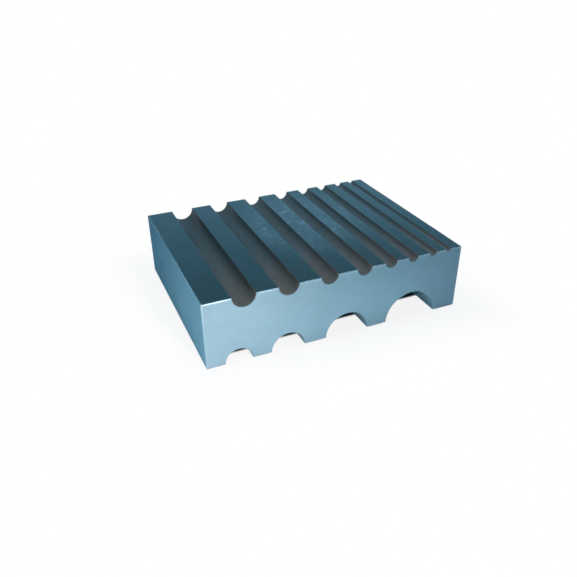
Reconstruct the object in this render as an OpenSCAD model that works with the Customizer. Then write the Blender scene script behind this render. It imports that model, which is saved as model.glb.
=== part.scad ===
// Bench block with half-round grooves, for shaping small rod, wire and strip.
// It is one solid piece of steel. Eight grooves are cut into the top face and
// four larger ones into the underside, and all run straight from front to back.
// Every groove is half a circle whose centre lies on the face that it is cut into.
// The origin is the centre of the underside. +X runs right along the front face,
// +Y goes to the back and +Z is up. Grooves and lands are counted from the left.

/* [Block] */
// Length of the block along its front face
block_w = 100; // [97:1:160]
// Depth from front to back, which is also the length of every groove
block_d = 76.2; // [30:0.1:160]
// Height of the block
block_h = 25.4; // [20:0.1:60]

/* [Broken edges] */
// Width taken off each outer edge of the block, on both faces that meet there
edge_break = 0.4; // [0.1:0.1:1]
// Width taken off the two long lips of each groove
lip_break = 0.2; // [0.1:0.05:0.3]
// Width taken off the curved edge at each end of a groove
mouth_break = 0.3; // [0.1:0.05:0.4]

/* [Top grooves] */
// Diameter of groove 1, the widest
top_d1 = 8.5; // [5:0.25:12]
// Diameter of groove 2
top_d2 = 7.5; // [4:0.25:11]
// Diameter of groove 3
top_d3 = 6.5; // [3:0.25:10]
// Diameter of groove 4
top_d4 = 5.75; // [2.5:0.25:9]
// Diameter of groove 5
top_d5 = 4.75; // [2:0.25:8]
// Diameter of groove 6
top_d6 = 4; // [1.5:0.25:7.5]
// Diameter of groove 7
top_d7 = 3; // [1.25:0.25:6.5]
// Diameter of groove 8, the narrowest
top_d8 = 2; // [1.25:0.25:5]

/* [Top lands] */
// Land from the left face to groove 1
top_land1 = 10.25; // [3:0.25:13.5]
// Land between grooves 1 and 2
top_land2 = 8; // [2:0.25:11.25]
// Land between grooves 2 and 3
top_land3 = 8.25; // [2:0.25:11.5]
// Land between grooves 3 and 4
top_land4 = 7.5; // [2:0.25:10.75]
// Land between grooves 4 and 5
top_land5 = 5.5; // [2:0.25:8.75]
// Land between grooves 5 and 6
top_land6 = 4.75; // [2:0.25:8]
// Land between grooves 6 and 7
top_land7 = 5; // [2:0.25:8.25]
// Land between grooves 7 and 8
top_land8 = 4; // [2:0.25:7.25]

/* [Underside grooves] */
// Diameter of underside groove 1, the narrowest
under_d1 = 10; // [5:0.25:15]
// Diameter of underside groove 2
under_d2 = 12.5; // [6:0.25:18]
// Diameter of underside groove 3
under_d3 = 16.75; // [8:0.25:22]
// Diameter of underside groove 4, the widest
under_d4 = 21; // [10:0.25:26]

/* [Underside lands] */
// Land from the left face to underside groove 1
under_land1 = 6.75; // [3:0.25:12]
// Land between underside grooves 1 and 2
under_land2 = 7; // [2:0.25:12]
// Land between underside grooves 2 and 3
under_land3 = 8.5; // [2:0.25:14]
// Land between underside grooves 3 and 4
under_land4 = 8; // [2:0.25:14]

/* [Hidden] */

$fn = 96;
// How far a cut runs out of the block, past the face that it opens
past = 1;

top_ds = [top_d1, top_d2, top_d3, top_d4, top_d5, top_d6, top_d7, top_d8];
top_lands = [top_land1, top_land2, top_land3, top_land4, top_land5, top_land6, top_land7, top_land8];
under_ds = [under_d1, under_d2, under_d3, under_d4];
under_lands = [under_land1, under_land2, under_land3, under_land4];

// Sum of the first n entries of a list
function sum_of(list, n) = n == 0 ? 0 : list[n - 1] + sum_of(list, n - 1);

// X of groove i's centre: past the lands up to it and the grooves before it
function groove_x(ds, lands, i) = sum_of(lands, i + 1) + sum_of(ds, i) + ds[i] / 2 - block_w / 2;

// Rectangle round the origin, with each corner cut off at 45 degrees
module broken_rectangle(w, h) {
    x = w / 2;
    y = h / 2;
    b = edge_break;
    polygon([
        [x - b, -y], [x, b - y], [x, y - b], [x - b, y],
        [b - x, y], [-x, y - b], [-x, b - y], [b - x, -y]
    ]);
}

// The block before any groove is cut. Each of the three extruded outlines
// breaks the four edges that run its own way, and all twelve are left broken.
module blank() {
    translate([0, 0, block_h / 2])
        intersection() {
            linear_extrude(block_h, center = true) broken_rectangle(block_w, block_d);
            rotate([90, 0, 0]) linear_extrude(block_d, center = true) broken_rectangle(block_w, block_h);
            rotate([90, 0, 90]) linear_extrude(block_w, center = true) broken_rectangle(block_d, block_h);
        }
}

// Cuts both long lips of a groove back at 45 degrees. The sloping sides meet
// the round wall at the depth of lip_break, and run on a little inside it.
module lip_cut(d) {
    wall_x = sqrt(pow(d / 2, 2) - pow(lip_break, 2));
    rotate([90, 0, 0])
        linear_extrude(block_d + 2 * past, center = true)
            polygon([
                [-wall_x - lip_break - past, past], [wall_x + lip_break + past, past],
                [wall_x - lip_break, -2 * lip_break], [lip_break - wall_x, -2 * lip_break]
            ]);
}

// Cuts the curved edge at a groove's end back at 45 degrees. The cone points
// along +Y, with its wide end outside the front face.
module mouth_cut(d) {
    translate([0, -block_d / 2 - past, 0])
        rotate([-90, 0, 0])
            cylinder(h = past + 2 * mouth_break, r1 = d / 2 + mouth_break + past, r2 = d / 2 - mouth_break);
}

// All that is cut away for one groove in a face that looks up and lies at Z = 0
module groove(d) {
    rotate([90, 0, 0]) cylinder(h = block_d + 2 * past, d = d, center = true);
    lip_cut(d);
    mouth_cut(d);
    mirror([0, 1, 0]) mouth_cut(d);
}

// The finished block
module block() {
    color([0.36, 0.51, 0.60])
        difference() {
            blank();
            for (i = [0 : len(top_ds) - 1])
                translate([groove_x(top_ds, top_lands, i), 0, block_h]) groove(top_ds[i]);
            for (i = [0 : len(under_ds) - 1])
                translate([groove_x(under_ds, under_lands, i), 0, 0]) mirror([0, 0, 1]) groove(under_ds[i]);
        }
}

block();
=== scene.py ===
# %% [markdown]
# # A grooved bench block, dressed round its CAD frame
#
# The object is one solid piece of steel, 100 mm long. A smith lays wire, rod or
# strip in one of its half-round grooves and strikes or presses it there. Small
# grooves cross the top, and the block is turned over to use the large ones.
#
# The CAD model fixes every size and place. This script only makes the block look
# real: it carries the block's own outline from front to back as a smooth mesh with
# softly rounded edges, and it finishes each kind of surface as the workshop left it.

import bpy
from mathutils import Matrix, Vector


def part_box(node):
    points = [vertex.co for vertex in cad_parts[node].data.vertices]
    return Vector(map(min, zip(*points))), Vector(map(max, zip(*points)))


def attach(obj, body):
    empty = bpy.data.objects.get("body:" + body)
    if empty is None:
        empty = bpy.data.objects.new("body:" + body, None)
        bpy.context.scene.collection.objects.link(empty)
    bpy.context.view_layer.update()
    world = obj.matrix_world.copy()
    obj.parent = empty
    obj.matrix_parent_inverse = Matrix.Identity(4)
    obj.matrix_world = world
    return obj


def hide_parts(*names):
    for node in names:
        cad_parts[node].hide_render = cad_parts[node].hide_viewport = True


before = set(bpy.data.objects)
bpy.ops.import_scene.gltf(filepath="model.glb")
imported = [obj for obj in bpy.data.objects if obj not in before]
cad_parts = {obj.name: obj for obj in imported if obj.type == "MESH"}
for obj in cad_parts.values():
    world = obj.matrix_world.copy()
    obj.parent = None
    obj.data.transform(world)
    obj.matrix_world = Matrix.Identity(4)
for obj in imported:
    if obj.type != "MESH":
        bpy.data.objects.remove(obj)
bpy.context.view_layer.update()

# %% Sizes of the blank, read from the frame
import math

import bpy
import numpy as np
from mathutils import Matrix, Vector

MM = 0.001
node_low, node_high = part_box("block")
WIDTH, DEPTH, HEIGHT = (node_high - node_low) / MM
print(f"The blank is {WIDTH:.1f} x {DEPTH:.1f} x {HEIGHT:.1f} mm")

# %% [markdown]
# ## The grooves
#
# On the real block a form cutter with a round nose runs along each groove, so every
# groove is half a circle whose centre lies on the face. A groove is then given by its
# diameter and by the flat land before it. Adding lands and diameters up from the left
# face gives each centre line, which is how a machinist sets the work out too.

# %% Groove and land widths in millimetres, from the left
TOP_DIAMETERS = np.array([8.5, 7.5, 6.5, 5.75, 4.75, 4.0, 3.0, 2.0])
TOP_LANDS = np.array([10.25, 8.0, 8.25, 7.5, 5.5, 4.75, 5.0, 4.0])
UNDER_DIAMETERS = np.array([10.0, 12.5, 16.75, 21.0])
UNDER_LANDS = np.array([6.75, 7.0, 8.5, 8.0])


def centre_lines(diameters, lands):
    """X of each centre: the lands up to it, the grooves before it and half of its own width."""
    return np.cumsum(lands) + np.cumsum(diameters) - diameters / 2 - WIDTH / 2


top_x = centre_lines(TOP_DIAMETERS, TOP_LANDS)
under_x = centre_lines(UNDER_DIAMETERS, UNDER_LANDS)
print("Top centre lines:", top_x, "underside centre lines:", under_x)

# %% [markdown]
# ## Rings from front to back
#
# The block could be a box with cylinders cut out of it, but a boolean leaves long thin
# faces and hard edges that catch no light. Here one closed outline is repeated as rings
# from the front face to the back face. Along the middle the rings are all alike. At
# each end the outline shrinks a little while it moves the last fraction of a
# millimetre, as a quarter turn, and that rolls the edge over. A few more rings shrink
# within the flat end face itself, so that its rim has points that can carry wear.

# %% Distances along a straight run
def graded(length, near_ends, step):
    """Distances from one end: the given ones in from both ends, and even ones about a step apart between."""
    last = near_ends[-1]
    even = np.linspace(last, length - last, max(1, round((length - 2 * last) / step)) + 1)
    return np.concatenate([near_ends[:-1], even, length - near_ends[-2::-1]])


print("A run of 10 mm, for example:", graded(10.0, np.array([0.5, 2.0]), 2.0))

# %% Rings: where each one stands and how far it has shrunk
# Radius, in millimetres, of the outer edges, of the groove mouths and of the groove lips.
EDGE, MOUTH, LIP = 0.4, 0.3, 0.15
RIM_INSETS = np.array([1.2, 0.5, 0.15, 0.0])  # rings within the flat end face
ROLL_TURNS = np.radians([75, 60, 45, 30, 15, 0])  # rings round the quarter turn
NEAR_ENDS = np.array([0.25, 0.7, 1.3, 2.0])  # rings just behind it
RING_STEP = 1.0  # from there to the other end

body_length = DEPTH - 2 * EDGE
body = graded(body_length, NEAR_ENDS, RING_STEP)
half_turn = np.concatenate([np.full(len(RIM_INSETS), math.pi / 2), ROLL_TURNS])
half_inset = np.concatenate([RIM_INSETS, np.zeros(len(ROLL_TURNS))])
turn = np.concatenate([half_turn, np.zeros(len(body)), half_turn[::-1]])[:, None]
inset = np.concatenate([half_inset, np.zeros(len(body)), half_inset[::-1]])[:, None]
end = np.ones(len(half_turn))
span = np.concatenate([-end, 2 * body / body_length - 1, end])[:, None]
rings = len(span)
print(rings, "rings,", len(body), "of them between the rolled ends")


def shrink(radius):
    """How far a ring lies inside the plain outline: a quarter turn of the radius, then the rim's inset."""
    return radius * (1 - np.cos(turn)) + inset


def ring_y(radius):
    """Y of a ring: the end face, less the part of the quarter turn that is still to come."""
    return span * (DEPTH / 2 - radius * (1 - np.sin(turn)))


# %% [markdown]
# ## The broken edges
#
# A ground edge would cut the hand, so a fitter draws a stone or a fine file along it.
# The edge ends up rounded by a few tenths of a millimetre, and never quite evenly. A
# Bevel modifier would round every edge alike. Here each edge's radius wavers along its
# length as a formula says, with a small nick here and there.

# %% Radius of a hand-broken edge along the block
SEED = 7
WAVER = 0.12
WAVES = ((0.6, 31.0), (0.4, 13.0))  # share of the waver, and length in millimetres
NICKS, NICK_DEPTH, NICK_WIDTH = 2, 0.3, 1.2

rng = np.random.default_rng(SEED)
along = span * DEPTH / 2


def broken_radius(radius):
    """Two slow sine waves of the plain radius, plus narrow bell curves where the edge was knocked."""
    waves = sum(
        WAVER * size * np.sin(2 * math.pi * (along / length + rng.random())) for size, length in WAVES
    )
    spots = rng.uniform(-DEPTH / 2, DEPTH / 2, NICKS)
    knocks = np.exp(-(((along - spots) / NICK_WIDTH) ** 2)) @ rng.uniform(0, NICK_DEPTH, (NICKS, 1))
    return radius * (1 + waves + knocks)


print(f"Each edge wavers by up to {WAVER:.0%} of its radius and has {NICKS} nicks")

# %% [markdown]
# ## The outline
#
# The outline is what a saw cut across the block would show. It is made of arcs joined by
# straight flats, and an arc is a centre, a radius and two angles. A lip's arc touches
# both the land and the groove, and when the ring shrinks, the same formula still makes
# it touch both. A curve object could hold such an outline, but with arrays each point
# also keeps what the finishes need: the distance to the nearest edge, how worn that edge
# is, and the zone that it was machined in.

# %% Where the outline's points are kept
LAND_ZONE, END_ZONE, SIDE_ZONE, GROOVE_ZONE, TUNNEL_ZONE = range(5)
outline = {"x": [], "z": [], "groove": [], "gap": [], "wear": [], "zone": []}


def keep(x, z, groove, gap, wear, zone):
    """Adds points to every ring.

    X and Z have a row for each ring. The others have one value a point: its share of a
    groove, the distance to the nearest edge, the wear of that edge, and the zone.
    """
    count = x.shape[1]
    for name, value in (("x", x), ("z", z)):
        outline[name].append(np.broadcast_to(value, (rings, count)))
    for name, value in (("groove", groove), ("gap", gap), ("wear", wear), ("zone", zone)):
        outline[name].append(np.broadcast_to(value, (count,)))


print("Each point keeps:", ", ".join(outline))

# %% Arcs for the corners
LEAST_RADIUS = 0.03
CORNER_POINTS = 6
CORNER_WEAR = 0.1  # 0 is not worn, 1 is worn bare


def arc(radius, start, stop, count):
    """Points on a circle round zero, from one angle to the other, in degrees."""
    angle = np.radians(start + (stop - start) * np.linspace(0, 1, count))
    return radius * np.cos(angle), radius * np.sin(angle)


def add_corner(x, z, start):
    """A quarter circle inside the corner (x, z), turning 90 degrees clockwise from the angle start."""
    radius = np.maximum(broken_radius(EDGE) - shrink(EDGE), LEAST_RADIUS)
    depth = shrink(EDGE) + radius
    centre_x = x - math.copysign(1, x) * depth
    centre_z = z + depth if z == 0 else z - depth
    u, v = arc(radius, start, start - 90, CORNER_POINTS)
    keep(centre_x + u, centre_z + v, 0, 0, CORNER_WEAR, SIDE_ZONE)


# %% Arcs for the grooves and their lips
ARC_STEP = 0.45
FEWEST_STEPS = 16
LIP_POINTS = 5
LIP_WEAR = 0.0


def lip(wall):
    """The arc between land and groove: its radius, its centre's depth and distance aside, and its lean.

    It touches the ring's land, so its centre lies one radius below that. It touches the
    groove's circle from outside, so the two centres are both radii apart, and Pythagoras
    gives the distance aside. The lean is the angle of the line between the centres.
    """
    radius = np.maximum(broken_radius(LIP) - shrink(EDGE), LEAST_RADIUS)
    depth = shrink(EDGE) + radius
    aside = np.sqrt((wall + radius) ** 2 - depth**2)
    return radius, depth, aside, np.degrees(np.arctan2(depth, aside))


def add_groove(x, face_z, diameter, way):
    """Lip, half circle and lip. Way is 1 on top and -1 underneath, the same shape turned by 180 degrees."""
    zone = GROOVE_ZONE if way == 1 else TUNNEL_ZONE
    wall = diameter / 2 + shrink(MOUTH)
    first, second = lip(wall), lip(wall)
    share = np.linspace(0, 1, LIP_POINTS)

    radius, depth, aside, lean = first
    u, v = arc(radius, 90, lean, LIP_POINTS)
    keep(x + way * (u - aside), face_z + way * (v - depth), share, 0, LIP_WEAR, zone)

    half_round = math.pi * diameter / 2
    steps = max(FEWEST_STEPS, round(half_round / ARC_STEP))
    u, v = arc(wall, 180 + first[3], 360 - second[3], steps + 1)
    gap = half_round * np.linspace(0, 1, steps + 1)[1:-1]
    gap = np.minimum(gap, gap[::-1])
    keep(x + way * u[:, 1:-1], face_z + way * v[:, 1:-1], 1, gap, LIP_WEAR, zone)

    radius, depth, aside, lean = second
    u, v = arc(radius, 180 - lean, 90, LIP_POINTS)
    keep(x + way * (aside + u), face_z + way * (v - depth), share[::-1], 0, LIP_WEAR, zone)


# %% Flats between the arcs
FLAT_ENDS = np.array([0.25, 0.7, 1.5])
FLAT_STEP = 2.5


def close_flats():
    """Joins the arcs: fills each straight gap with points that stand closer together near its two ends."""
    parts = {name: list(values) for name, values in outline.items()}
    for values in outline.values():
        values.clear()
    for i in range(len(parts["x"])):
        keep(*(parts[name][i] for name in outline))
        after = (i + 1) % len(parts["x"])
        x0, x1 = parts["x"][i][:, -1:], parts["x"][after][:, :1]
        z0, z1 = parts["z"][i][:, -1:], parts["z"][after][:, :1]
        run, rise = np.median(x1 - x0), np.median(z1 - z0)
        length = math.hypot(run, rise)
        if length > 2 * FLAT_ENDS[-1]:
            gap = graded(length, FLAT_ENDS, FLAT_STEP)
            share = gap / length
            zone = LAND_ZONE if abs(run) > abs(rise) else SIDE_ZONE
            wear = np.where(share < 0.5, parts["wear"][i][-1], parts["wear"][after][0])
            gap = np.minimum(gap, length - gap)
            keep(x0 + (x1 - x0) * share, z0 + (z1 - z0) * share, 0, gap, wear, zone)


# %% The whole outline, clockwise from the top left corner
add_corner(-WIDTH / 2, HEIGHT, 180)
for x, diameter in zip(top_x, TOP_DIAMETERS):
    add_groove(x, HEIGHT, diameter, 1)
add_corner(WIDTH / 2, HEIGHT, 90)
add_corner(WIDTH / 2, 0, 0)
for x, diameter in zip(under_x[::-1], UNDER_DIAMETERS[::-1]):
    add_groove(x, 0, diameter, -1)
add_corner(-WIDTH / 2, 0, -90)
close_flats()
ring_x, ring_z = (np.concatenate(outline[name], axis=1) for name in ("x", "z"))
groove, gap, wear, zone = (np.concatenate(outline[name]) for name in ("groove", "gap", "wear", "zone"))
points = len(gap)
print(points, "points in each outline")

# %% [markdown]
# ## From rings to a mesh
#
# Neighbouring rings are joined by four-sided faces, found with plain index arithmetic
# on whole arrays, and one flat face closes each end. Every face keeps the zone that it
# was machined in, and every point keeps how near it is to a worn edge. The rims of the
# two ends are paler, most of all at the top: partly wear, where work and fingers pass
# over them, and partly a painted highlight along the top edges.

# %% Points and faces
y = ring_y(EDGE) + (ring_y(MOUTH) - ring_y(EDGE)) * groove
place = np.stack([ring_x, y, ring_z], axis=2).reshape(-1, 3) * MM

ring_start = np.arange(rings - 1)[:, None] * points
here = np.arange(points)
after = (here + 1) % points
quads = np.stack(
    [ring_start + here, ring_start + after, ring_start + points + after, ring_start + points + here], axis=2
).reshape(-1, 4)
front_face = here[::-1].tolist()
back_face = (here + (rings - 1) * points).tolist()
print(len(place), "points and", len(quads), "faces between the rings")

# %% Zone of each face
body_rings = np.isclose(turn, 0)
between = body_rings[:-1] & body_rings[1:]
face_zone = np.where(between, np.minimum(zone, zone[after]), END_ZONE)
face_zone = np.append(face_zone.ravel(), [END_ZONE, END_ZONE])
print("Faces on lands, ends, sides, top grooves and underside grooves:", np.bincount(face_zone))

# %% Wear of each point, with a painted highlight on the top rims of the ends
WEAR_REACH = 0.15  # millimetres from the edge
END_WEAR_AND_HIGHLIGHT = 0.55
HEIGHT_POWER = 4  # the end rims' wear fades downwards with this power of the height

to_end = np.where(body_rings, DEPTH / 2 - EDGE - np.abs(y), inset)
edge_wear = np.where(body_rings, wear * np.exp(-gap / WEAR_REACH), 0)
# The end rims' paleness is partly wear and partly a painted highlight along the top edges of both ends.
rim_wear_and_highlight = END_WEAR_AND_HIGHLIGHT * (1 - groove) * (ring_z / HEIGHT) ** HEIGHT_POWER * np.exp(-to_end / WEAR_REACH)
near_edge = np.maximum(edge_wear, rim_wear_and_highlight)
print("The most worn point has", near_edge.max())

# %% The block as one closed mesh
mesh = bpy.data.meshes.new("grooved_block")
mesh.from_pydata(place.tolist(), [], quads.tolist() + [front_face, back_face])
mesh.polygons.foreach_set("material_index", face_zone.astype(np.int32))
mesh.shade_smooth()
near_edge_data = mesh.attributes.new("near_edge", "FLOAT", "POINT").data
near_edge_data.foreach_set("value", near_edge.ravel().astype(np.float32))
mesh.update()
block = bpy.data.objects.new("grooved_block", mesh)
bpy.context.scene.collection.objects.link(block)
print("The block's mesh has", len(mesh.vertices), "points and", len(mesh.polygons), "faces")

# %% [markdown]
# ## Shared effects
#
# All surfaces are the same steel, so they share their small marks: the fine lines that a
# grinding wheel or cutter leaves, the cloudy film from oil and fingers, scuffs where work
# is handled most, hair-thin scratches, and bright edges where the film has been rubbed
# away, which on the top rims of the ends are partly a painted highlight. The marks could
# be painted as a picture, but that blurs close up. Each effect is a node group instead,
# built once and placed in every material with its own values.
# Distances are real: patterns read Object coordinates, which are metres on the block.

# %% Small helpers for nodes
def add(tree, kind, inputs=(), **settings):
    """Adds a node, sets its settings, and fills or links its inputs, named by text or number."""
    node = tree.nodes.new(kind)
    for name, value in settings.items():
        setattr(node, name, value)
    for name, value in dict(inputs).items():
        if isinstance(value, bpy.types.NodeSocket):
            tree.links.new(value, node.inputs[name])
        else:
            node.inputs[name].default_value = value
    return node


def math_node(tree, operation, a, b=0.0, c=0.0, clamp=False):
    """The result of one sum on two values, or on three for MULTIPLY_ADD."""
    return add(tree, "ShaderNodeMath", {0: a, 1: b, 2: c}, operation=operation, use_clamp=clamp).outputs[0]


def ramp_between(tree, value, low, high, to_low=0.0, to_high=1.0):
    """The value stretched so that low becomes to_low and high becomes to_high, with soft ends."""
    given = {"Value": value, "From Min": low, "From Max": high, "To Min": to_low, "To Max": to_high}
    return add(tree, "ShaderNodeMapRange", given, interpolation_type="SMOOTHSTEP").outputs["Result"]


# %% Helpers for mixing colours and for making groups
def mixed(tree, share, a, b):
    """Colour a with a share of colour b laid over it."""
    node = add(tree, "ShaderNodeMix", data_type="RGBA")
    for name, value in (("Factor_Float", share), ("A_Color", a), ("B_Color", b)):
        socket = next(s for s in node.inputs if s.identifier == name)
        if isinstance(value, bpy.types.NodeSocket):
            tree.links.new(value, socket)
        else:
            socket.default_value = value
    return next(s for s in node.outputs if s.identifier == "Result_Color")


def new_group(name, inputs, outputs):
    """An empty node group with named sockets, its input node and its output node."""
    group = bpy.data.node_groups.new(name, "ShaderNodeTree")
    for way, sockets in (("INPUT", inputs), ("OUTPUT", outputs)):
        for socket, kind in sockets:
            group.interface.new_socket(socket, in_out=way, socket_type="NodeSocket" + kind)
    return group, add(group, "NodeGroupInput"), add(group, "NodeGroupOutput")


# %% Where the finished groups are kept
EFFECTS = {}


def keep_group(group):
    """Keeps a finished group under its own name, and prints what it takes and gives."""
    EFFECTS[group.name] = group
    sockets = group.interface.items_tree
    taken, gives = ([s.name for s in sockets if s.in_out == way] for way in ("INPUT", "OUTPUT"))
    print(f"{group.name} takes {', '.join(taken)} and gives {', '.join(gives)}")


# %% Group: fine lines left by a wheel or a cutter
NOISE_LOW, NOISE_HIGH = 0.3, 0.7  # nearly all of a noise's values lie between these


def tool_lines():
    """Noise that is stretched along the tool's path. Cycles gives its repeats per metre on each axis."""
    group, given, result = new_group(
        "tool_lines", [("Position", "Vector"), ("Cycles", "Vector")], [("Lines", "Float")]
    )
    both = {0: given.outputs["Position"], 1: given.outputs["Cycles"]}
    stretched = add(group, "ShaderNodeVectorMath", both, operation="MULTIPLY").outputs[0]
    noise = add(group, "ShaderNodeTexNoise", {"Vector": stretched, "Scale": 1.0, "Detail": 3.0})
    lines = ramp_between(group, noise.outputs["Fac"], NOISE_LOW, NOISE_HIGH)
    group.links.new(lines, result.inputs["Lines"])
    return group


keep_group(tool_lines())

# %% Group: cloudy film of oil and handling
MOTTLES_IN_A_PATCH = 6.0


def cloudy_film():
    """Warped noise in two sizes: wide soft patches, and a finer mottle. Patch gives the patches per metre."""
    group, given, result = new_group(
        "cloudy_film", [("Position", "Vector"), ("Patch", "Float")], [("Film", "Float"), ("Mottle", "Float")]
    )
    position, patch = given.outputs["Position"], given.outputs["Patch"]
    close = math_node(group, "MULTIPLY", patch, MOTTLES_IN_A_PATCH)
    kinds = {
        "Film": {"Vector": position, "Scale": patch, "Detail": 3.0, "Distortion": 0.8},
        "Mottle": {"Vector": position, "Scale": close, "Detail": 6.0, "Roughness": 0.65},
    }
    for name, inputs in kinds.items():
        noise = add(group, "ShaderNodeTexNoise", inputs)
        shown = ramp_between(group, noise.outputs["Fac"], NOISE_LOW, NOISE_HIGH)
        group.links.new(shown, result.inputs[name])
    return group


keep_group(cloudy_film())

# %% Group: scuffs where work is handled most
SCUFFS_PER_METRE = 420.0
FULL_WITHIN = 0.3  # share of the reach
RUB_FROM, RUB_TO, RUB_LEAST = 0.45, 0.75, 0.25


def scuffs():
    """Small cloudy rubs: the peaks of a noise, faded out with distance from where work is struck."""
    group, given, result = new_group(
        "scuffs", [("Position", "Vector"), ("Centre", "Vector"), ("Reach", "Float")], [("Scuffs", "Float")]
    )
    position = given.outputs["Position"]
    pattern = {"Scale": SCUFFS_PER_METRE, "Detail": 6.0, "Roughness": 0.6, "Distortion": 0.6}
    noise = add(group, "ShaderNodeTexNoise", {"Vector": position, **pattern})
    away = add(group, "ShaderNodeVectorMath", {0: position, 1: given.outputs["Centre"]}, operation="DISTANCE")
    reach = math_node(group, "DIVIDE", away.outputs["Value"], given.outputs["Reach"])
    inside = ramp_between(group, reach, FULL_WITHIN, 1.0, 1.0, 0.0)
    rubs = ramp_between(group, noise.outputs["Fac"], RUB_FROM, RUB_TO, RUB_LEAST, 1.0)
    group.links.new(math_node(group, "MULTIPLY", rubs, inside), result.inputs["Scuffs"])
    return group


keep_group(scuffs())

# %% Group: hair-thin scratches
HAIR_WAYS = ((24, 0.0), (-38, 3.1), (71, 7.7))  # direction in degrees, and the noise's seed
HAIR_TILT = (0.3, 0.2)  # in radians
HAIR_CYCLES = (900, 60, 500)  # repeats per metre, so each hair is long in Y
HAIR_LEVEL, HAIR_WIDTH = 0.68, 0.012


def hair_scratches():
    """Thin bands where very long, narrow noise crosses one level, in three directions."""
    group, given, result = new_group(
        "hair_scratches", [("Position", "Vector"), ("Amount", "Float")], [("Scratches", "Float")]
    )
    total = 0.0
    for degrees, seed in HAIR_WAYS:
        turned = {"Vector": given.outputs["Position"], "Rotation": (*HAIR_TILT, math.radians(degrees))}
        spun = add(group, "ShaderNodeVectorRotate", turned, rotation_type="EULER_XYZ").outputs[0]
        long = add(group, "ShaderNodeVectorMath", {0: spun, 1: HAIR_CYCLES}, operation="MULTIPLY").outputs[0]
        pattern = {"Vector": long, "W": seed, "Scale": 1.0, "Detail": 1.0}
        noise = add(group, "ShaderNodeTexNoise", pattern, noise_dimensions="4D").outputs["Fac"]
        off_level = math_node(group, "ABSOLUTE", math_node(group, "SUBTRACT", noise, HAIR_LEVEL))
        total = math_node(group, "ADD", ramp_between(group, off_level, 0.0, HAIR_WIDTH, 1.0, 0.0), total)
    amount = math_node(group, "MULTIPLY", total, given.outputs["Amount"], clamp=True)
    group.links.new(amount, result.inputs["Scratches"])
    return group


keep_group(hair_scratches())

# %% Group: bright worn edges, partly a painted highlight
WEAR_SPOTS_PER_METRE = 420.0
WEAR_NOISE, WEAR_PLAIN = 0.5, 0.65


def worn_and_highlit_edges():
    """How near the edge is, times a noise and a plain share, so that the bright line is uneven."""
    group, given, result = new_group(
        "worn_and_highlit_edges", [("Near Edge", "Float"), ("Position", "Vector")], [("Worn_And_Highlight", "Float")]
    )
    pattern = {"Vector": given.outputs["Position"], "Scale": WEAR_SPOTS_PER_METRE, "Detail": 4.0}
    noise = add(group, "ShaderNodeTexNoise", pattern).outputs["Fac"]
    ragged = math_node(group, "MULTIPLY_ADD", noise, WEAR_NOISE, WEAR_PLAIN)
    worn = math_node(group, "MULTIPLY", given.outputs["Near Edge"], ragged, clamp=True)
    group.links.new(worn, result.inputs["Worn_And_Highlight"])
    return group


keep_group(worn_and_highlit_edges())

# %% [markdown]
# ## The steel
#
# Oiled steel is a thin film over bare metal. Where the film is whole it gives the colour
# and dulls the shine, and where it is rubbed off the metal shows pale and smooth. A full
# model would stack two shaders, but one Principled shader is enough, because its colour,
# roughness and metal share can all follow the same marks. The next cells place the
# marks, turn them into a colour and a roughness, and build the material from both.

# %% Marks on one material
SCUFF_CENTRE, SCUFF_REACH = (0.006, 0.008, 0.0254), 0.036


def marks_on(tree, cycles, patch, scratched, upright):
    """Outputs of the five effects by name, and the position on each axis.

    The scratches lie nearly flat, so an upright surface reads them with Y and Z swapped.
    """
    position = add(tree, "ShaderNodeTexCoord").outputs["Object"]
    near = add(tree, "ShaderNodeAttribute", attribute_name="near_edge").outputs["Fac"]
    axes = add(tree, "ShaderNodeSeparateXYZ", {0: position}).outputs
    swapped = add(tree, "ShaderNodeCombineXYZ", {0: axes["X"], 1: axes["Z"], 2: axes["Y"]}).outputs[0]
    wanted = {
        "tool_lines": {"Position": position, "Cycles": cycles},
        "cloudy_film": {"Position": position, "Patch": patch},
        "scuffs": {"Position": position, "Centre": SCUFF_CENTRE, "Reach": SCUFF_REACH},
        "hair_scratches": {"Position": swapped if upright else position, "Amount": scratched},
        "worn_and_highlit_edges": {"Near Edge": near, "Position": position},
    }
    marks = {axis: axes[axis] for axis in ("X", "Y", "Z")}
    for kind, inputs in wanted.items():
        placed = add(tree, "ShaderNodeGroup", inputs, node_tree=EFFECTS[kind])
        marks.update({output.name: output for output in placed.outputs})
    return marks


# %% Colour of the steel
# The pale colour of rubbed steel; on the top rims of the ends it is partly a painted highlight.
WORN_AND_HIGHLIGHT = (0.52, 0.66, 0.74)
TONE = {"Film": 0.40, "Mottle": 0.35, "Lines": 0.25}
TONE_SPAN = 0.08


def steel_colour(tree, marks, base, scuffed, shades):
    """The base made a little darker or lighter by the marks, times each shade, with the pale worn colour on
    rubbed edges and on the painted highlight of the end rims.

    A shade is painted light or shade that fades along one axis: the axis, the place where it is full, the
    place where it has gone, and its colour.
    """
    tone = 0.0
    for name, share in TONE.items():
        tone = math_node(tree, "MULTIPLY_ADD", marks[name], share, tone)
    darker, lighter = np.multiply(base, 1 - TONE_SPAN), np.multiply(base, 1 + TONE_SPAN)
    colour = mixed(tree, tone, (*darker, 1), (*lighter, 1))
    for axis, full, gone, shade in shades:
        faded = mixed(tree, ramp_between(tree, marks[axis], full, gone), (*shade, 1), (1, 1, 1, 1))
        colour = add(tree, "ShaderNodeVectorMath", {0: colour, 1: faded}, operation="MULTIPLY").outputs[0]
    scuff = math_node(tree, "MULTIPLY", marks["Scuffs"], scuffed)
    bright = math_node(tree, "MAXIMUM", scuff, marks["Scratches"])
    return mixed(tree, math_node(tree, "MAXIMUM", bright, marks["Worn_And_Highlight"]), colour, (*WORN_AND_HIGHLIGHT, 1))


# %% Roughness of the steel
MOTTLE_ROUGH, SCUFF_ROUGH, WORN_SMOOTH = 0.015, 0.5, 0.5


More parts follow.
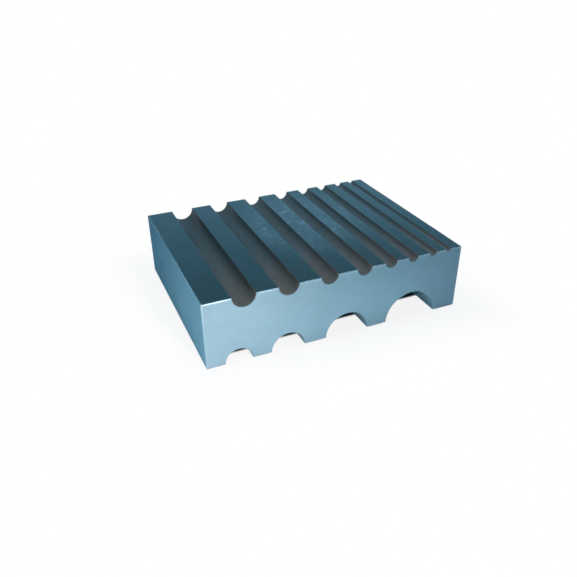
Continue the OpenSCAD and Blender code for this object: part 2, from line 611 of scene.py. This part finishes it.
def steel_roughness(tree, marks, rough, scuffed):
    """The plain roughness, up or down a little with the mottle, more in scuffs and less on worn edges."""
    change = math_node(tree, "MULTIPLY", math_node(tree, "SUBTRACT", marks["Mottle"], 0.5), MOTTLE_ROUGH)
    change = math_node(tree, "MULTIPLY_ADD", marks["Scuffs"], SCUFF_ROUGH * scuffed, change)
    change = math_node(tree, "MULTIPLY_ADD", marks["Worn_And_Highlight"], -WORN_SMOOTH, change)
    return math_node(tree, "ADD", change, rough, clamp=True)


# %% One steel material
WORN_METAL = 0.8


def steel(
    name, base, metal, rough, cycles, patch, relief, gloss=0.5, tint=(1.0, 1.0, 1.0),
    scuffed=0.0, scratched=0.04, upright=False, shades=(),
):
    """Principled steel whose colour, roughness, metal share and fine relief follow the marks.

    Cycles and patch are repeats per metre, and relief is the depth of the tool's lines in millimetres.
    """
    material = bpy.data.materials.new(name)
    material.use_nodes = True
    tree = material.node_tree
    tree.nodes.clear()
    marks = marks_on(tree, cycles, patch, scratched, upright)
    bump = add(tree, "ShaderNodeBump", {"Height": marks["Lines"], "Strength": 1.0, "Distance": relief * MM})
    bare = math_node(tree, "MULTIPLY", marks["Worn_And_Highlight"], WORN_METAL)
    given = {
        "Base Color": steel_colour(tree, marks, base, scuffed, shades),
        "Roughness": steel_roughness(tree, marks, rough, scuffed),
        "Metallic": math_node(tree, "MAXIMUM", bare, metal),
        "Specular IOR Level": gloss,
        "Specular Tint": (*tint, 1),
        "Normal": bump.outputs["Normal"],
    }
    surface = add(tree, "ShaderNodeBsdfPrincipled", given)
    add(tree, "ShaderNodeOutputMaterial", {"Surface": surface.outputs["BSDF"]})
    return material


# %% [markdown]
# ## The finishes
#
# Five surfaces come off different tools. The lands are ground, and darkened by oil and
# use: they mirror their surroundings, are scuffed near the middle, and have a painted
# shade that makes them a little darker towards the front. The two ends are ground bright,
# with fine slanting scratches. The long sides are the bar's own flats, dull and darker.
# The top grooves keep a dull grey skin from the cutter; painted warm light makes them
# browner and lighter towards the front, and a painted shade makes them darker on the
# left. The wide grooves underneath are lighter and bluer.
#
# Painted masks could tell them apart on one material. Here each face already knows its
# zone, so each zone has a material of its own, and each call only gives what differs.

# %% Finishes of the flat faces
ground_land = steel(
    "ground_land", base=(0.163, 0.365, 0.452), metal=1.0, rough=0.30, tint=(0.9, 0.95, 1.0),
    cycles=(5200, 90, 5200), patch=60.0, relief=0.00005, scuffed=0.55,
    # Painted shade: the lands are a little darker towards the front.
    shades=[("Y", -0.040, 0.0, (0.95, 0.92, 0.90))],
)
ground_end = steel(
    "ground_end", base=(0.286, 0.438, 0.523), metal=0.05, rough=0.50, gloss=0.05,
    cycles=(300, 4200, 4200), patch=50.0, relief=0.0001, scratched=0.16, upright=True,
)
bar_side = steel(
    "bar_side", base=(0.129, 0.277, 0.363), metal=0.0, rough=0.45, gloss=0.0, tint=(0.2, 0.25, 0.3),
    cycles=(4200, 120, 4200), patch=50.0, relief=0.0010,
)
print("Flat faces:", ground_land.name, ground_end.name, bar_side.name)

# %% Finishes of the grooves
CUTTER_LINES = (2600, 200, 2600)
CUTTER_TINT = (0.8, 0.8, 0.8)
cut_groove = steel(
    "cut_groove", base=(0.128, 0.150, 0.156), metal=0.08, rough=0.5, gloss=0.1, tint=CUTTER_TINT,
    cycles=CUTTER_LINES, patch=80.0, relief=0.0012,
    # Painted warm light makes the grooves browner and lighter towards the front, and a painted shade makes
    # them darker on the left.
    shades=[("Y", -0.040, 0.0, (1.56, 1.08, 0.91)), ("X", -0.036, 0.010, (0.60, 0.67, 0.68))],
)
wide_groove = steel(
    "wide_groove", base=(0.130, 0.312, 0.420), metal=0.1, rough=0.5, gloss=0.2, tint=CUTTER_TINT,
    cycles=CUTTER_LINES, patch=80.0, relief=0.0012,
)
print("Grooves:", cut_groove.name, wide_groove.name)

# %% The block takes its finishes and its place in the frame
for finish in (ground_land, ground_end, bar_side, cut_groove, wide_groove):
    mesh.materials.append(finish)

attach(block, "root")
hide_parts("block")
print("The block has", len(mesh.materials), "finishes")

# %% [markdown]
# ## The floor
#
# Polished metal looks like its surroundings, so the studio matters as much as the steel.
# The block stands on plain white. A lit white floor alone would turn grey in the corners
# of the picture, and lamps strong enough to whiten it would burn out the steel. So the
# floor is part lit surface, which keeps the block's shadow, and part plain white light
# for the camera and for reflections. The share of plain light grows with distance.
#
# Under the block the floor has a painted shade, a dark colour, except below each arch,
# where painted white light reaches about as far in as the arch is high. Grid points hold
# these shares, close together under the block and few beside it.

# %% Lines of the floor's grid, in millimetres
FLOOR_SIDE = 12000.0
FINE_STEP = 0.5
STEPS_OUT = np.array([1, 2, 4, 7, 11, 16, 21, 26, 32])


def floor_lines(side):
    """Grid lines: fine ones under the block, wider ones beside it, and the floor's far edge."""
    half = side / 2
    outer = np.concatenate([half + STEPS_OUT, [FLOOR_SIDE / 2]])
    inner = np.linspace(-half, half, round(side / FINE_STEP) + 1)
    return np.concatenate([-outer[::-1], inner, outer])


floor_x, floor_y = np.meshgrid(floor_lines(WIDTH), floor_lines(DEPTH))
print("The floor's grid has", floor_x.shape[1], "by", floor_x.shape[0], "lines")

# %% How white the floor is at each point, with painted light under the arches
NEAR_SHARE, FAR_FLOOR = 0.88, 32.0
# Under the arches the floor is painted white: the reach is how deep that painted light gets, and the spill
# how wide it is, in radii of an arch.
PAINTED_LIGHT_REACH, PAINTED_LIGHT_SPILL = 1.12, 1.1  # in radii of an arch: how deep the light gets, and how wide it is
SOFT_EDGE = 1.0
ON_THE_LINE = 0.01


def smooth_step(value):
    """Rises from 0 to 1 as the value does, with soft ends."""
    value = np.clip(value, 0, 1)
    return value * value * (3 - 2 * value)


inside = DEPTH / 2 - np.abs(floor_y)
beside = np.maximum(np.abs(floor_x) - WIDTH / 2, -inside)
under_arch = np.abs(floor_x[..., None] - under_x) < PAINTED_LIGHT_SPILL * UNDER_DIAMETERS / 2
reach = np.where(under_arch, PAINTED_LIGHT_REACH * UNDER_DIAMETERS / 2, 0).max(axis=2)
# Painted light: under each arch the floor is white as far in as about the arch's height, and the rest under
# the block keeps only the painted shade.
painted_light_in = smooth_step((reach - inside) / SOFT_EDGE + 0.5) * (reach > 0)
outside_share = NEAR_SHARE + (1 - NEAR_SHARE) * smooth_step(beside / FAR_FLOOR)
white_share = np.where(beside > -ON_THE_LINE, outside_share, NEAR_SHARE * painted_light_in)
print("The floor's white share runs from", white_share.min(), "to", white_share.max())

# %% Floor mesh
FLOOR_DROP = 0.05

floor_z = np.full_like(floor_x, -FLOOR_DROP)
floor_places = np.stack([floor_x, floor_y, floor_z], axis=2).reshape(-1, 3) * MM
rows, columns = floor_x.shape
corner = (np.arange(rows - 1)[:, None] * columns + np.arange(columns - 1)).reshape(-1, 1)
floor_mesh = bpy.data.meshes.new("floor")
floor_mesh.from_pydata(floor_places.tolist(), [], (corner + [0, 1, columns + 1, columns]).tolist())
share_data = floor_mesh.attributes.new("white_share", "FLOAT", "POINT").data
share_data.foreach_set("value", white_share.ravel().astype(np.float32))
floor = bpy.data.objects.new("floor", floor_mesh)
bpy.context.scene.collection.objects.link(floor)
print("The floor's mesh has", len(floor_mesh.polygons), "faces")

# %% Floor material
TOUCHING = 0.0006
# The second colour is a painted shade: the dark colour of the floor under the block, so that the tunnels look
# deep.
PALE, PAINTED_SHADE, WHITE = (0.86, 0.87, 0.88, 1), (0.04, 0.08, 0.10, 1), (1, 1, 1, 1)


def white_floor():
    """Part lit surface and part plain white light, by white_share, with a painted shade under the block and
    painted white light under its arches.

    It is clear from below. It is clear as well for rays shorter than TOUCHING, in metres,
    which leave the block's own feet, so that the underside isn't black from below.
    """
    material = bpy.data.materials.new("white_floor")
    material.use_nodes = True
    tree = material.node_tree
    tree.nodes.clear()
    path = add(tree, "ShaderNodeLightPath").outputs
    seen = math_node(tree, "MAXIMUM", path["Is Camera Ray"], path["Is Glossy Ray"])
    seen = math_node(tree, "MAXIMUM", seen, path["Is Transmission Ray"])
    share = add(tree, "ShaderNodeAttribute", attribute_name="white_share").outputs["Fac"]
    clear_of_painted_shade = math_node(tree, "DIVIDE", share, NEAR_SHARE, clamp=True)
    lit = add(tree, "ShaderNodeBsdfDiffuse", {"Color": mixed(tree, clear_of_painted_shade, PAINTED_SHADE, PALE)}).outputs[0]
    plain = add(tree, "ShaderNodeEmission", {"Color": WHITE, "Strength": 1.0}).outputs[0]
    seen_share = math_node(tree, "MULTIPLY", share, seen)
    top = add(tree, "ShaderNodeMixShader", {0: seen_share, 1: lit, 2: plain}).outputs[0]
    touching = math_node(tree, "LESS_THAN", path["Ray Length"], TOUCHING)
    below = math_node(tree, "MAXIMUM", add(tree, "ShaderNodeNewGeometry").outputs["Backfacing"], touching)
    clear = add(tree, "ShaderNodeBsdfTransparent").outputs[0]
    both = add(tree, "ShaderNodeMixShader", {0: below, 1: top, 2: clear}).outputs[0]
    add(tree, "ShaderNodeOutputMaterial", {"Surface": both})
    return material


floor_mesh.materials.append(white_floor())
print("The floor's material is", floor_mesh.materials[0].name)

# %% [markdown]
# ## The backdrop
#
# The lands lie flat, so what they mirror is the backdrop behind the block. It is bright
# and blue low down and dark higher up, and that is why the lands read as dark blue steel
# that gets lighter towards the back. A real studio would hang a graded cloth there. Here
# the world's colour by direction does the same, and it needs no mesh.

# %% Backdrop
BEHIND = (
    (0.00, (0.25, 0.45, 0.60, 1)),
    (0.12, (0.55, 0.85, 1.00, 1)),
    (0.25, (0.75, 1.00, 1.10, 1)),
    (0.38, (0.05, 0.05, 0.06, 1)),
    (1.00, (0.03, 0.04, 0.05, 1)),
)
IN_FRONT = (0.02, 0.05, 0.07, 1)
TURN_OVER = 0.2


def backdrop():
    """Light by direction: the colours of BEHIND by height behind the block, and a dim even blue in front."""
    world = bpy.data.worlds.new("backdrop")
    world.use_nodes = True
    tree = world.node_tree
    tree.nodes.clear()
    direction = add(tree, "ShaderNodeTexCoord").outputs["Generated"]
    way = add(tree, "ShaderNodeSeparateXYZ", {0: direction}).outputs
    ramp = add(tree, "ShaderNodeValToRGB", {"Fac": way["Z"]})
    stops = ramp.color_ramp.elements
    while len(stops) < len(BEHIND):
        stops.new(1.0)
    for stop, (position, colour) in zip(stops, BEHIND):
        stop.position, stop.color = position, colour
    back = ramp_between(tree, way["Y"], -TURN_OVER, TURN_OVER)
    colour = mixed(tree, back, IN_FRONT, ramp.outputs["Color"])
    light = add(tree, "ShaderNodeBackground", {"Color": colour, "Strength": 1.0})
    add(tree, "ShaderNodeOutputWorld", {"Surface": light.outputs[0]})
    return world


bpy.context.scene.world = backdrop()
print("The backdrop has", len(BEHIND), "colours behind the block")

# %% [markdown]
# ## The lamps
#
# Four soft lamps light the block. The key is small, low and close to the front left
# corner, so both faces there are bright at the corner and fall off away from it. The
# fill is a low strip in front, which lifts the foot of the front face. The edge lamp is a
# narrow beam that draws the bright line on the rim. The overhead lamp is wide and far
# away, so the lands and grooves are evenly lit. One far lamp would be simpler, but it
# would light each face evenly, and the block would look like a drawing.

# %% Lamps
def soft_lamp(name, place, target, size, power, colour, spread=180):
    """A lamp that faces the target. Size is its width and height, power is in watts, spread in degrees."""
    lamp = bpy.data.lights.new(name, "AREA")
    lamp.shape = "RECTANGLE"
    lamp.size, lamp.size_y = size
    lamp.energy, lamp.color = power, colour
    lamp.spread = math.radians(spread)
    holder = bpy.data.objects.new(name, lamp)
    holder.location = place
    holder.rotation_mode = "QUATERNION"
    holder.rotation_quaternion = (Vector(target) - Vector(place)).to_track_quat("-Z", "Y")
    holder.visible_camera = False
    bpy.context.scene.collection.objects.link(holder)
    print(f"The {name} lamp gives {power} W from {place}")


FRONT_CORNER = (-0.05, -0.038, 0.0127)
soft_lamp(
    "key", place=(-0.112, -0.058, 0.008), target=FRONT_CORNER, size=(0.03, 0.03),
    power=0.0395, colour=(1.0, 0.955, 0.92),
)
soft_lamp(
    "fill", place=(0.004, -0.073, 0.0045), target=(0.004, -0.038, 0.0045), size=(0.06, 0.008),
    power=0.0063, colour=(0.91, 1.03, 1.04),
)
soft_lamp(
    "edge", place=(0.003, -0.299, 0.1717), target=FRONT_CORNER, size=(0.03, 0.03),
    power=0.0109, colour=(1.0, 0.89, 0.84), spread=20,
)
soft_lamp(
    "overhead", place=(0.02, 0.06, 0.90), target=(0.0, 0.0, 0.0), size=(0.70, 0.60),
    power=5.6, colour=(0.55, 0.83, 1.02),
)

# %% [markdown]
# ## Camera
#
# The block's own straight edges show where the camera stood: a pinhole camera was fitted
# to them, with the middle of the picture as its centre. It stands in front and a little
# to the left, and looks down on the block. Placing it by eye would be quicker, but then
# the edges would not meet the picture's.

# %% Camera
PICTURE = 577
FOCAL_PIXELS = 613.8
SENSOR = 36.0
NEAREST, FARTHEST = 0.01, 50.0
CAMERA_PLACE = Vector((-89.19, -198.54, 128.43)) * MM
HEADING, DOWN, ROLL = 23.352, 30.779, -0.484

camera_data = bpy.data.cameras.new("camera")
camera_data.sensor_width = SENSOR
camera_data.lens = FOCAL_PIXELS / PICTURE * SENSOR
camera_data.clip_start, camera_data.clip_end = NEAREST, FARTHEST
camera = bpy.data.objects.new("camera", camera_data)
bpy.context.scene.collection.objects.link(camera)
turned = (
    Matrix.Rotation(math.radians(-HEADING), 4, "Z")
    @ Matrix.Rotation(math.radians(90 - DOWN), 4, "X")
    @ Matrix.Rotation(math.radians(ROLL), 4, "Z")
)
camera.matrix_world = Matrix.Translation(CAMERA_PLACE) @ turned
bpy.context.scene.camera = camera
bpy.context.scene.view_settings.view_transform = "Standard"
print(f"The lens is {camera_data.lens:.2f} mm, and it looks along", turned.to_3x3() @ Vector((0, 0, -1)))
